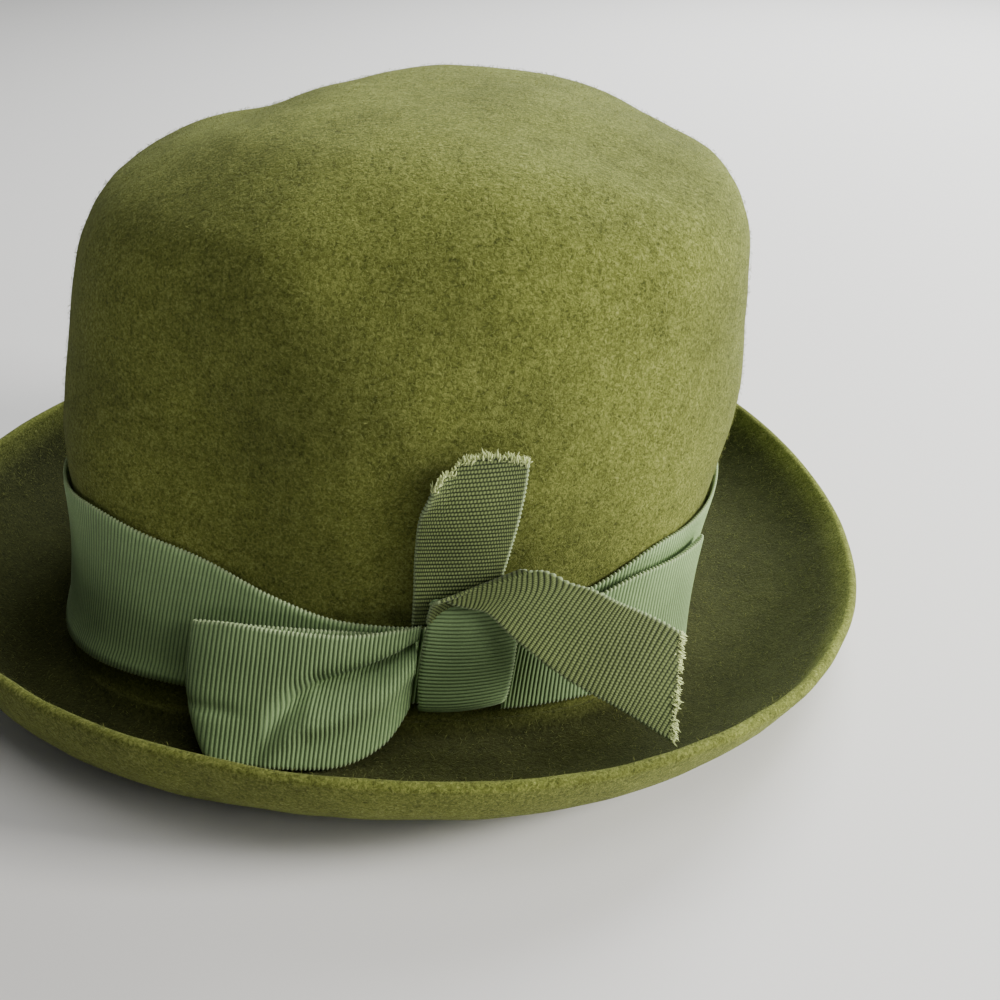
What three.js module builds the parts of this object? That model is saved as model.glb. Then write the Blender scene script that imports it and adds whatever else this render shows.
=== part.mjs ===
// A blocked felt hat: one felt shell makes the tall crown and the rolled-up brim, and a grosgrain ribbon
// band with a tied bow sits on the crown. Millimetres, +Z up, +X towards the right side seen from the bow.
// Azimuths run from +X towards +Y, so the bow faces -90 degrees.
import * as THREE from 'three';

// Felt
const feltWall = 3;
const crownLength = 183;
const crownWidth = 163;
const crownFootExponent = 3.2;
const crownTopExponent = 2.33;
const crownHeight = 146;
const crownBaseX = -20.7;
const crownLean = 17.5;
const brimTurnRadius = 4;
const restRingWidth = 7;

// Brim, measured on the lip's middle line from the rim's own centre
const rimCentreX = 6;
const lipReachRight = 112;
const lipReachLeft = 154;
const lipReachFront = 124;
const lipReachBack = 125;
const lipHeightRight = 17;
const lipHeightLeft = 28;
const lipHeightFront = 29;
const lipHeightBack = 29;
const brimCurl = 80;
const brimCurlRight = 58;

// Depths that the dent tables take shares of
const wallDentDepth = 5;
const topDentDepth = 8;
// Shares of crownHeight between which the top dents fade in
const topDentFade = { from: 0.7, to: 0.95 };
// Share of crownHeight over which the plan goes from crownFootExponent to crownTopExponent
const squareRiseShare = 0.5;

// Ribbon
const ribbonWall = 1;
const bandWidth = 46;
const bandLift = 12;
const ribbonGap = 0.7;
const tailWidth = 22;
const uprightLength = 42;
const fallingLength = 54;
const bowStand = 13;
const leftLoopLength = 55;
const leftLoopAzimuth = -83;
const rightLoopLength = 50;
const rightLoopAzimuth = -66;
const knotWidth = 20;
const knotHeight = 35;
const knotStand = 9;

// Facets
const azimuthSteps = 56;
const turnSteps = 3;
const brimSteps = 8;
const lipAngles = [45, 90, 135];
const unrefinedDomeSections = 2;
const bandSteps = 72;
const loopRefinement = 3;
const tailRefinement = 2;

// Crown sections from the base to the top: height is a share of crownHeight,
// reach a share of the crown's half length and half width, lean a share of crownLean towards +X
const crownSections = [
  { height: 0.00, reach: 0.972, lean: 0.00 },
  { height: 0.10, reach: 0.96, lean: 0.13 },
  { height: 0.22, reach: 0.958, lean: 0.29 },
  { height: 0.36, reach: 0.972, lean: 0.50 },
  { height: 0.50, reach: 0.994, lean: 0.66 },
  { height: 0.62, reach: 0.978, lean: 0.73 },
  { height: 0.72, reach: 0.953, lean: 0.82 },
  { height: 0.80, reach: 0.924, lean: 0.90 },
  { height: 0.865, reach: 0.862, lean: 1.01 },
  { height: 0.915, reach: 0.758, lean: 1.20 },
  { height: 0.95, reach: 0.655, lean: 1.26 },
  { height: 0.975, reach: 0.536, lean: 1.15 },
  { height: 0.99, reach: 0.39, lean: 1.06 },
  { height: 0.998, reach: 0.19, lean: 1.00 },
  { height: 1.00, reach: 0.00, lean: 1.00 },
];

// Dents pressed into the crown wall: height and heightSpan are shares of crownHeight, depth of wallDentDepth
const wallDents = [
  { azimuth: -118, azimuthSpan: 16, height: 0.52, heightSpan: 0.30, depth: 0.8 },
  { azimuth: -150, azimuthSpan: 16, height: 0.42, heightSpan: 0.18, depth: -0.5 },
  { azimuth: -88, azimuthSpan: 9, height: 0.42, heightSpan: 0.16, depth: 0.5 },
  { azimuth: 65, azimuthSpan: 22, height: 0.50, heightSpan: 0.25, depth: 0.4 },
];

// Dents pressed down into the top: along and across are shares of the half length and half width
const topDents = [
  { along: -0.51, alongSpan: 0.14, across: 0.29, acrossSpan: 0.34, depth: 0.70 },
  { along: -0.26, alongSpan: 0.10, across: 0.60, acrossSpan: 0.22, depth: 0.50 },
  { along: 0.48, alongSpan: 0.21, across: -0.42, acrossSpan: 0.17, depth: 0.40 },
  { along: 0.66, alongSpan: 0.18, across: 0.29, acrossSpan: 0.54, depth: 0.70 },
];

// Band edges by azimuth: low and high are shares of bandWidth above bandLift
const bandEdges = [
  { azimuth: -180, low: 0.04, high: 0.94 },
  { azimuth: -160, low: 0.06, high: 0.93 },
  { azimuth: -148, low: 0.09, high: 0.97 },
  { azimuth: -138, low: 0.14, high: 1.02 },
  { azimuth: -128, low: 0.16, high: 1.00 },
  { azimuth: -118, low: 0.13, high: 0.89 },
  { azimuth: -108, low: 0.08, high: 0.745 },
  { azimuth: -95, low: 0.05, high: 0.56 },
  { azimuth: -80, low: 0.03, high: 0.52 },
  { azimuth: -68, low: 0.01, high: 0.56 },
  { azimuth: -57, low: 0.00, high: 0.68 },
  { azimuth: -47, low: 0.02, high: 0.81 },
  { azimuth: -38, low: 0.02, high: 0.81 },
  { azimuth: -20, low: 0.02, high: 0.80 },
  { azimuth: 20, low: 0.02, high: 0.84 },
  { azimuth: 90, low: 0.02, high: 0.92 },
  { azimuth: 180, low: 0.04, high: 0.94 },
];

// Left loop from the knot round its fold and back: along is a share of leftLoopLength, corner the share of it
// by which the lower edge falls short, low and high are shares of bandWidth above bandLift, and lowStand
// and highStand are shares of bowStand
const leftLoopSections = [
  { along: 0.00, corner: 0.00, low: 0.10, high: 0.62, lowStand: 0.55, highStand: 0.50 },
  { along: 0.10, corner: 0.00, low: -0.05, high: 0.60, lowStand: 0.95, highStand: 0.54 },
  { along: 0.29, corner: 0.00, low: -0.145, high: 0.57, lowStand: 1.16, highStand: 0.56 },
  { along: 0.58, corner: 0.03, low: -0.15, high: 0.58, lowStand: 1.18, highStand: 0.55 },
  { along: 0.82, corner: 0.11, low: -0.13, high: 0.585, lowStand: 1.16, highStand: 0.52 },
  { along: 0.94, corner: 0.18, low: -0.12, high: 0.56, lowStand: 1.10, highStand: 0.48 },
  { along: 0.98, corner: 0.19, low: -0.1, high: 0.54, lowStand: 0.92, highStand: 0.38 },
  { along: 0.94, corner: 0.14, low: -0.05, high: 0.54, lowStand: 0.50, highStand: 0.28 },
  { along: 0.60, corner: 0.00, low: 0.04, high: 0.55, lowStand: 0.27, highStand: 0.26 },
  { along: 0.00, corner: 0.00, low: 0.10, high: 0.50, lowStand: 0.24, highStand: 0.24 },
];

// Right loop, flatter and half behind the falling tail, with the columns of the left one
const rightLoopSections = [
  { along: 0.00, corner: 0.00, low: 0.05, high: 0.60, lowStand: 0.46, highStand: 0.42 },
  { along: 0.20, corner: 0.00, low: 0.06, high: 0.66, lowStand: 0.50, highStand: 0.40 },
  { along: 0.45, corner: 0.00, low: 0.05, high: 0.73, lowStand: 0.50, highStand: 0.36 },
  { along: 0.75, corner: 0.00, low: 0.04, high: 0.72, lowStand: 0.50, highStand: 0.36 },
  { along: 0.94, corner: 0.00, low: 0.04, high: 0.70, lowStand: 0.46, highStand: 0.34 },
  { along: 1.00, corner: 0.00, low: 0.05, high: 0.69, lowStand: 0.36, highStand: 0.29 },
  { along: 0.96, corner: 0.00, low: 0.06, high: 0.68, lowStand: 0.26, highStand: 0.25 },
  { along: 0.60, corner: 0.00, low: 0.06, high: 0.66, lowStand: 0.24, highStand: 0.24 },
  { along: 0.00, corner: 0.00, low: 0.08, high: 0.52, lowStand: 0.24, highStand: 0.24 },
];

// Knot wrap from under the band, over the front and up to the falling tail's fold: height is a share of
// knotHeight above the knot's foot and rise what its right edge adds to that, stand is a share of knotStand,
// width and shift to the right are shares of knotWidth
const knotFoot = 14;
const knotAzimuth = -75.8;
const knotSections = [
  { height: -0.08, rise: 0.00, stand: 0.14, width: 0.86, shift: 0.04 },
  { height: 0.00, rise: 0.03, stand: 0.66, width: 0.90, shift: 0.04 },
  { height: 0.10, rise: 0.04, stand: 0.98, width: 0.94, shift: 0.03 },
  { height: 0.30, rise: 0.02, stand: 1.04, width: 1.00, shift: 0.01 },
  { height: 0.55, rise: 0.00, stand: 1.06, width: 1.00, shift: -0.01 },
  { height: 0.78, rise: 0.02, stand: 1.03, width: 0.96, shift: -0.03 },
  { height: 0.92, rise: 0.08, stand: 0.93, width: 0.90, shift: -0.05 },
  { height: 0.98, rise: 0.13, stand: 0.78, width: 0.86, shift: -0.07 },
  { height: 1.00, rise: 0.14, stand: 0.62, width: 0.84, shift: -0.07 },
];

// Upright tail: along is a share of uprightLength above its foot, lean and width shares of tailWidth
// to the right, leftStand and rightStand are shares of knotStand
const uprightFoot = 43.6;
const uprightAzimuth = -84;
const uprightSections = [
  { along: 0.00, lean: 0.00, width: 0.76, leftStand: 0.56, rightStand: 0.42 },
  { along: 0.25, lean: -0.07, width: 0.90, leftStand: 0.54, rightStand: 0.38 },
  { along: 0.50, lean: -0.1, width: 0.96, leftStand: 0.54, rightStand: 0.38 },
  { along: 0.75, lean: -0.09, width: 0.97, leftStand: 0.58, rightStand: 0.42 },
  { along: 1.00, lean: 0.00, width: 0.90, leftStand: 0.62, rightStand: 0.50 },
];

// Falling tail from the knot's top to the brim, from the start of its middle line: right and drop are shares
// of fallingLength, out is a share of the room between the crown and the front lip, tilt is how far the
// upper edge leans back in degrees, width and the cut's slant are shares of tailWidth, and
// fallingStartStand is a share of knotStand
const fallingAzimuth = -75.4;
const fallingTop = 53;
const fallingStartStand = 0.88;
const fallingSections = [
  { right: 0.00, out: 0.00, drop: 0.00, tilt: 30, width: 0.44, slant: -0.83 },
  { right: 0.14, out: 0.03, drop: 0.02, tilt: 28, width: 0.62, slant: -0.61 },
  { right: 0.28, out: 0.07, drop: 0.10, tilt: 30, width: 0.86, slant: -0.39 },
  { right: 0.46, out: 0.13, drop: 0.21, tilt: 34, width: 0.96, slant: -0.22 },
  { right: 0.67, out: 0.19, drop: 0.31, tilt: 40, width: 1.00, slant: 0.05 },
  { right: 0.82, out: 0.25, drop: 0.39, tilt: 44, width: 1.00, slant: 0.50 },
];

const felt = { colour: 0x75803f, roughness: 0.95 };
const ribbon = { colour: 0x6f8f5f, roughness: 0.75 };
const darkRibbon = { colour: 0x56643a, roughness: 0.8 };

const radians = THREE.MathUtils.degToRad;
const mix = THREE.MathUtils.lerp;

// Smooth value of one column of a table at a place along another column
function sample(table, key, place, column) {
  const last = table.length - 1;
  const next = table.findIndex((row) => row[key] >= place);
  if (next === 0 || place <= table[0][key]) {
    return table[0][column];
  }
  if (next < 0) {
    return table[last][column];
  }
  const before = table[next - 1];
  const after = table[next];
  const share = (place - before[key]) / (after[key] - before[key]);
  const eased = mix(share, THREE.MathUtils.smoothstep(share, 0, 1), 0.5);
  return mix(before[column], after[column], eased);
}

// Degrees between two azimuths, from -180 to 180
function turnBetween(from, to) {
  return THREE.MathUtils.euclideanModulo(to - from + 180, 360) - 180;
}

function bump(distance, span) {
  return Math.exp(-0.5 * (distance / span) ** 2);
}

function wallDentAt(azimuth, heightShare) {
  let depth = 0;
  for (const dent of wallDents) {
    const aside = bump(turnBetween(dent.azimuth, azimuth), dent.azimuthSpan);
    const above = bump(heightShare - dent.height, dent.heightSpan / 2);
    depth += dent.depth * wallDentDepth * aside * above;
  }
  return depth;
}

function topDentAt(along, across) {
  let depth = 0;
  for (const dent of topDents) {
    const lengthways = bump(along - dent.along, dent.alongSpan);
    const sideways = bump(across - dent.across, dent.acrossSpan);
    depth += dent.depth * topDentDepth * lengthways * sideways;
  }
  return depth;
}

// How far the crown's plan stands outside a plain oval at an angle in radians: an exponent of 2 is that oval
function planFullness(turn, heightShare) {
  const exponent = mix(crownFootExponent, crownTopExponent, Math.min(1, heightShare / squareRiseShare));
  const sum = Math.abs(Math.cos(turn)) ** exponent + Math.abs(Math.sin(turn)) ** exponent;
  return sum ** (-1 / exponent);
}

// Point on the crown's outside at an azimuth in degrees and a section of given height and reach shares
function crownPoint(azimuth, heightShare, reach, out = 0) {
  const turn = radians(azimuth);
  const fullness = planFullness(turn, heightShare);
  const along = reach * fullness * Math.cos(turn);
  const across = reach * fullness * Math.sin(turn);
  const inward = wallDentAt(azimuth, heightShare) * Math.min(1, reach) - out;
  const fade = THREE.MathUtils.smoothstep(heightShare, topDentFade.from, topDentFade.to);
  const centre = crownBaseX + crownLean * sample(crownSections, 'height', heightShare, 'lean');
  return new THREE.Vector3(
    centre + along * crownLength / 2 - inward * Math.cos(turn),
    across * crownWidth / 2 - inward * Math.sin(turn),
    heightShare * crownHeight - topDentAt(along, across) * fade,
  );
}

// Point beside the crown's wall at an azimuth, a height and a distance off the felt
function besideCrown(azimuth, height, out) {
  const share = height / crownHeight;
  const reach = sample(crownSections, 'height', Math.max(0, share), 'reach');
  const point = crownPoint(azimuth, Math.max(0, share), reach, out);
  point.z = height;
  return point;
}

// The same, placed by a distance walked round the crown from an azimuth instead of by an azimuth
function walkedAzimuth(azimuth, distance) {
  const turn = radians(azimuth);
  const stride = Math.hypot(crownLength / 2 * Math.sin(turn), crownWidth / 2 * Math.cos(turn));
  return azimuth + THREE.MathUtils.radToDeg(distance / stride);
}

function lipPoint(azimuth) {
  const turn = radians(azimuth);
  const right = Math.max(0, Math.cos(turn));
  const left = Math.max(0, -Math.cos(turn));
  const back = Math.max(0, Math.sin(turn));
  const front = Math.max(0, -Math.sin(turn));
  return new THREE.Vector3(
    rimCentreX + lipReachRight * right - lipReachLeft * left,
    lipReachBack * back - lipReachFront * front,
    lipHeightRight * right ** 2 + lipHeightLeft * left ** 2
      + lipHeightBack * back ** 2 + lipHeightFront * front ** 2,
  );
}

// The upper skin at one azimuth: down the crown's outside, round the turn, over the flat ring, up to the lip
function feltSection(azimuth) {
  const turn = radians(azimuth);
  const outward = new THREE.Vector3(Math.cos(turn), Math.sin(turn), 0);
  const turnTop = feltWall + brimTurnRadius;
  const points = [];
  for (let row = crownSections.length - 2; row >= 1; row -= 1) {
    const section = crownSections[row];
    const next = crownSections[row - 1];
    points.push(crownPoint(azimuth, section.height, section.reach));
    if (row > 1 && row <= crownSections.length - 1 - unrefinedDomeSections) {
      const middle = (section.height + next.height) / 2;
      points.push(crownPoint(azimuth, middle, sample(crownSections, 'height', middle, 'reach')));
    }
  }
  const foot = turnTop / crownHeight;
  const base = crownPoint(azimuth, foot, sample(crownSections, 'height', foot, 'reach'));
  for (let step = 0; step <= turnSteps; step += 1) {
    const angle = step / turnSteps * Math.PI / 2;
    const point = base.clone().addScaledVector(outward, brimTurnRadius * (1 - Math.cos(angle)));
    point.z = turnTop - brimTurnRadius * Math.sin(angle);
    points.push(point);
  }
  const ringEdge = points[points.length - 1].clone().addScaledVector(outward, restRingWidth);
  points.push(ringEdge);
  const lip = lipPoint(azimuth);
  const curl = radians(mix(brimCurl, brimCurlRight, Math.max(0, Math.cos(turn)) ** 2));
  for (let step = 1; step <= brimSteps; step += 1) {
    const angle = curl * step / brimSteps;
    const point = ringEdge.clone().lerp(lip, Math.sin(angle) / Math.sin(curl));
    point.z = mix(feltWall, lip.z, (1 - Math.cos(angle)) / (1 - Math.cos(curl)));
    points.push(point);
  }
  return points;
}

// Outward normal of a grid of points at one row and column, the columns closing on themselves if asked
function gridNormal(grid, row, column, closed) {
  const rows = grid.length;
  const columns = grid[0].length;
  const left = closed ? (column + columns - 1) % columns : Math.max(0, column - 1);
  const right = closed ? (column + 1) % columns : Math.min(columns - 1, column + 1);
  const below = grid[Math.max(0, row - 1)][column];
  const above = grid[Math.min(rows - 1, row + 1)][column];
  const across = grid[row][right].clone().sub(grid[row][left]);
  return across.cross(above.clone().sub(below)).normalize();
}

function geometryFrom(points, triangles) {
  const geometry = new THREE.BufferGeometry();
  const places = points.flatMap((point) => [point.x, point.y, point.z]);
  geometry.setAttribute('position', new THREE.Float32BufferAttribute(places, 3));
  geometry.setIndex(triangles);
  geometry.computeVertexNormals();
  return geometry;
}

// Triangles between two neighbouring rows of equal length, rows closing on themselves if asked
function stripTriangles(triangles, lower, upper, count, closed) {
  const last = closed ? count : count - 1;
  for (let column = 0; column < last; column += 1) {
    const next = (column + 1) % count;
    triangles.push(lower + column, lower + next, upper + next);
    triangles.push(lower + column, upper + next, upper + column);
  }
}

// The felt shell: upper skin, rounded lip and under skin, all one closed surface
function feltGeometry() {
  const sections = [];
  for (let step = 0; step < azimuthSteps; step += 1) {
    sections.push(feltSection(-360 * step / azimuthSteps));
  }
  const upper = sections[0].map((point, row) => sections.map((section) => section[row]));
  const lipRow = upper.length - 1;
  const ringRow = lipRow - brimSteps;
  const normals = upper.map((row, rowIndex) => row.map((point, column) => (
    rowIndex === ringRow || rowIndex === ringRow - 1
      ? new THREE.Vector3(0, 0, 1)
      : gridNormal(upper, rowIndex, column, true))));
  const rings = upper.map((row) => row.map((point) => point.clone()));
  for (const angle of lipAngles) {
    rings.push(upper[lipRow].map((point, column) => {
      const normal = normals[lipRow][column];
      const outward = point.clone().sub(upper[lipRow - 1][column]).normalize();
      return point.clone()
        .addScaledVector(normal, feltWall / 2 * (Math.cos(radians(angle)) - 1))
        .addScaledVector(outward, feltWall / 2 * Math.sin(radians(angle)));
    }));
  }
  for (let row = lipRow; row >= 0; row -= 1) {
    rings.push(upper[row].map((point, column) => (
      point.clone().addScaledVector(normals[row][column], -feltWall))));
  }
  const top = crownPoint(0, 1, 0);
  const points = [top, ...rings.flat(), top.clone().setZ(top.z - feltWall)];
  const triangles = [];
  const first = 1;
  const lastRing = first + (rings.length - 1) * azimuthSteps;
  for (let column = 0; column < azimuthSteps; column += 1) {
    const next = (column + 1) % azimuthSteps;
    triangles.push(0, first + next, first + column);
    triangles.push(points.length - 1, lastRing + column, lastRing + next);
  }
  for (let ring = 0; ring < rings.length - 1; ring += 1) {
    const lower = first + ring * azimuthSteps;
    stripTriangles(triangles, lower, lower + azimuthSteps, azimuthSteps, true);
  }
  return geometryFrom(points, triangles);
}

// A strip of ribbon with a thickness, from a grid of middle points: rows run along it, columns across it
function ribbonGeometry(grid, closed = false) {
  const columns = grid[0].length;
  const turned = grid[0].map((point, column) => grid.map((row) => row[column]));
  const skin = (side) => grid.map((row, rowIndex) => row.map((point, column) => {
    const normal = gridNormal(turned, column, rowIndex, closed);
    return point.clone().addScaledVector(normal, side * ribbonWall / 2);
  }));
  const outer = skin(1);
  const inner = skin(-1);
  const points = [];
  const rowStart = [];
  outer.forEach((row, rowIndex) => {
    rowStart.push(points.length);
    points.push(...row, ...inner[rowIndex].reverse());
  });
  const around = columns * 2;
  const triangles = [];
  const rows = grid.length;
  const lastRow = closed ? rows : rows - 1;
  for (let row = 0; row < lastRow; row += 1) {
    stripTriangles(triangles, rowStart[row], rowStart[(row + 1) % rows], around, true);
  }
  if (!closed) {
    for (let column = 0; column < columns - 1; column += 1) {
      const far = around - 1 - column;
      triangles.push(column, far, column + 1);
      triangles.push(column + 1, far, far - 1);
      const end = rowStart[rows - 1];
      triangles.push(end + column, end + column + 1, end + far);
      triangles.push(end + column + 1, end + far - 1, end + far);
    }
  }
  const geometry = geometryFrom(points, triangles);
  return volumeOf(geometry) < 0 ? geometryFrom(points, triangles.reverse()) : geometry;
}

// Signed volume of a closed mesh, negative where its faces point inwards
function volumeOf(geometry) {
  const place = geometry.attributes.position;
  const index = geometry.index;
  const corner = (at) => new THREE.Vector3().fromBufferAttribute(place, index.getX(at));
  let total = 0;
  for (let at = 0; at < index.count; at += 3) {
    total += corner(at).dot(corner(at + 1).cross(corner(at + 2))) / 6;
  }
  return total;
}

// Shares across a ribbon, from its lower edge to its upper edge
const acrossShares = [0, 0.33, 0.67, 1];

// Eased rows between the rows of a section table, several for each step of the table
function refine(table, steps) {
  const rows = [];
  for (let at = 0; at < table.length - 1; at += 1) {
    const before = table[Math.max(0, at - 1)];
    const after = table[Math.min(table.length - 1, at + 2)];
    for (let step = 0; step < steps; step += 1) {
      const share = step / steps;
      const row = {};
      for (const column of Object.keys(table[0])) {
        const [p0, p1, p2, p3] = [before, table[at], table[at + 1], after].map((entry) => entry[column]);
        row[column] = 0.5 * (2 * p1 + (p2 - p0) * share + (2 * p0 - 5 * p1 + 4 * p2 - p3) * share ** 2
          + (3 * p1 - p0 - 3 * p2 + p3) * share ** 3);
      }
      rows.push(row);
    }
  }
  rows.push({ ...table[table.length - 1] });
  return rows;
}

function bandGeometry() {
  const grid = [];
  for (let step = 0; step < bandSteps; step += 1) {
    const azimuth = -180 + 360 * step / bandSteps;
    const low = bandLift + bandWidth * sample(bandEdges, 'azimuth', azimuth, 'low');
    const high = bandLift + bandWidth * sample(bandEdges, 'azimuth', azimuth, 'high');
    grid.push(acrossShares.map((share) => (
      besideCrown(azimuth, mix(low, high, share), ribbonGap + ribbonWall / 2))));
  }
  return ribbonGeometry(grid, true);
}

function loopGeometry(sections, startAzimuth, length, direction) {
  const grid = refine(sections, loopRefinement).map((section) => {
    const low = bandLift + bandWidth * section.low;
    const high = bandLift + bandWidth * section.high;
    return acrossShares.map((share) => {
      const along = section.along - section.corner * (1 - share) ** 3;
      const stand = bowStand * mix(section.lowStand, section.highStand, share);
      return besideCrown(walkedAzimuth(startAzimuth, direction * along * length), mix(low, high, share), stand);
    });
  });
  return ribbonGeometry(grid);
}

function knotGeometry() {
  const grid = refine(knotSections, tailRefinement).map((section) => {
    return acrossShares.map((share) => besideCrown(
      walkedAzimuth(knotAzimuth, knotWidth * (section.shift + section.width * (share - 0.5))),
      knotFoot + knotHeight * (section.height + section.rise * share),
      knotStand * section.stand));
  });
  return ribbonGeometry(grid);
}

function uprightGeometry() {
  const grid = refine(uprightSections, tailRefinement).map((section) => {
    const height = uprightFoot + uprightLength * section.along;
    return acrossShares.map((share) => besideCrown(
      walkedAzimuth(uprightAzimuth, tailWidth * (section.lean + section.width * share)),
      height, knotStand * mix(section.leftStand, section.rightStand, share)));
  });
  return ribbonGeometry(grid);
}

function fallingGeometry() {
  const rows = refine(fallingSections, tailRefinement);
  const start = besideCrown(fallingAzimuth, fallingTop, knotStand * fallingStartStand);
  const brimRoom = lipReachFront - crownWidth / 2;
  const middles = rows.map((section) => new THREE.Vector3(
    start.x + fallingLength * section.right,
    start.y - brimRoom * section.out,
    start.z - fallingLength * section.drop,
  ));
  const grid = rows.map((section, row) => {
    const before = middles[Math.max(0, row - 1)];
    const after = middles[Math.min(rows.length - 1, row + 1)];
    const forward = after.clone().sub(before).normalize();
    const upwards = new THREE.Vector3(0, 0, 1).projectOnPlane(forward).normalize();
    const edgeways = upwards.applyAxisAngle(forward, -radians(section.tilt));
    return acrossShares.map((share) => middles[row].clone()
      .addScaledVector(edgeways, tailWidth * section.width * (share - 0.5))
      .addScaledVector(forward, tailWidth * section.slant * (0.5 - share)));
  });
  return ribbonGeometry(grid);
}

function piece(name, geometry, finish) {
  const material = new THREE.MeshStandardMaterial({
    color: finish.colour, roughness: finish.roughness, metalness: 0, side: THREE.FrontSide,
  });
  const mesh = new THREE.Mesh(geometry, material);
  mesh.name = name;
  return mesh;
}

const hat = new THREE.Group();
hat.add(piece('felt_body', feltGeometry(), felt));
hat.add(piece('hat_band', bandGeometry(), ribbon));
hat.add(piece('left_loop', loopGeometry(leftLoopSections, leftLoopAzimuth, leftLoopLength, -1), ribbon));
hat.add(piece('right_loop', loopGeometry(rightLoopSections, rightLoopAzimuth, rightLoopLength, 1), ribbon));
hat.add(piece('knot_wrap', knotGeometry(), ribbon));
hat.add(piece('falling_tail', fallingGeometry(), darkRibbon));
hat.add(piece('upright_tail', uprightGeometry(), darkRibbon));

// The hat stands on z = 0 with its outline centred on the origin
const outline = new THREE.Box3().setFromObject(hat);
const middle = outline.getCenter(new THREE.Vector3());
hat.position.set(-middle.x, -middle.y, -outline.min.z);
hat.updateMatrixWorld(true);

export default hat;
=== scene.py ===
"""A blocked felt hat with a rolled-up brim, a grosgrain band and a tied ribbon bow.

The hat is modelled as a maker works: the felt is blocked over sections, the ribbons are flat lengths bent
to their places, and each cut end is frayed. Lengths are metres, azimuths are degrees from +X towards +Y,
and the bow faces -90 degrees.
"""
import math

import bpy
import numpy as np
from bpy.props import FloatProperty, FloatVectorProperty, PointerProperty
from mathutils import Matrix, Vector, noise


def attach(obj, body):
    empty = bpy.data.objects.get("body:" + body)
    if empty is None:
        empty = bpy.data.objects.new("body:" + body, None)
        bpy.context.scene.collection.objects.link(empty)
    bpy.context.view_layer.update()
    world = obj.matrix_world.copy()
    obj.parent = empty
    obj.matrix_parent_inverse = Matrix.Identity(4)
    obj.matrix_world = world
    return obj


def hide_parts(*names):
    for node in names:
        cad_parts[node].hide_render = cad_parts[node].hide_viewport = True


bl_info = {
    "name": "Felt Hat with Ribbon Bow",
    "version": (1, 0, 0),
    "blender": (4, 5, 0),
    "location": "View3D > Sidebar > Felt Hat",
    "description": "Blocks a felt hat with a rolled-up brim and ties a grosgrain bow round its crown",
    "category": "Add Mesh",
}

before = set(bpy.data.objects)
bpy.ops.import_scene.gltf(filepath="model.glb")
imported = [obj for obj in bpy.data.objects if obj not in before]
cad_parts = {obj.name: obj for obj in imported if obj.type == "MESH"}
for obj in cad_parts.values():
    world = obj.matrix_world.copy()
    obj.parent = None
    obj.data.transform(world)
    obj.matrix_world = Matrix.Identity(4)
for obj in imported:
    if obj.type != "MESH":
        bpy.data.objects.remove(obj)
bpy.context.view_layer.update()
MM = 0.001


def table(columns, rows):
    """Rows of values under the names of their columns."""
    return [dict(zip(columns.split(), row)) for row in rows]


# Crown sections from the foot to the top: height is a share of the crown's height, reach a share of its
# half length and half width, lean a share of the crown's lean
CROWN_SECTIONS = table("height reach lean", (
    (0.00, 0.972, 0.00),
    (0.10, 0.96, 0.13),
    (0.22, 0.958, 0.29),
    (0.36, 0.972, 0.50),
    (0.50, 0.994, 0.66),
    (0.62, 0.978, 0.73),
    (0.72, 0.953, 0.82),
    (0.80, 0.924, 0.90),
    (0.865, 0.862, 1.01),
    (0.915, 0.758, 1.20),
    (0.95, 0.655, 1.26),
    (0.975, 0.536, 1.15),
    (0.99, 0.39, 1.06),
    (0.998, 0.19, 1.00),
    (1.00, 0.00, 1.00),
))

# Dents pressed into the crown's wall: height and height_span are shares of the crown's height, depth a
# share of the wall dents' depth, negative where the felt bulges
WALL_DENTS = table("azimuth azimuth_span height height_span depth", (
    (-118, 11, 0.50, 0.30, 1.6),
    (-124, 9, 0.74, 0.26, 0.5),
    (-150, 16, 0.42, 0.18, -0.5),
    (-88, 9, 0.42, 0.16, 0.5),
    (65, 22, 0.50, 0.25, 0.4),
))

# Dents pressed down into the top: along and across are shares of the half length and half width
TOP_DENTS = table("along along_span across across_span depth", (
    (-0.51, 0.14, 0.29, 0.34, 0.70),
    (-0.26, 0.10, 0.60, 0.22, 0.50),
    (0.48, 0.21, -0.42, 0.17, 0.40),
    (0.66, 0.18, 0.29, 0.54, 0.70),
))

# Band edges by azimuth: low and high are shares of the band's width above its foot
BAND_EDGES = table("azimuth low high", (
    (-180, 0.02, 0.90),
    (-160, 0.01, 0.92),
    (-148, 0.02, 0.96),
    (-138, 0.06, 0.98),
    (-128, 0.09, 0.91),
    (-118, 0.09, 0.83),
    (-108, 0.06, 0.71),
    (-95, 0.05, 0.56),
    (-80, 0.03, 0.52),
    (-68, 0.01, 0.56),
    (-57, 0.00, 0.68),
    (-47, 0.02, 0.81),
    (-38, 0.02, 0.81),
    (-20, 0.02, 0.80),
    (20, 0.02, 0.84),
    (90, 0.02, 0.92),
    (180, 0.02, 0.90),
))

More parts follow.
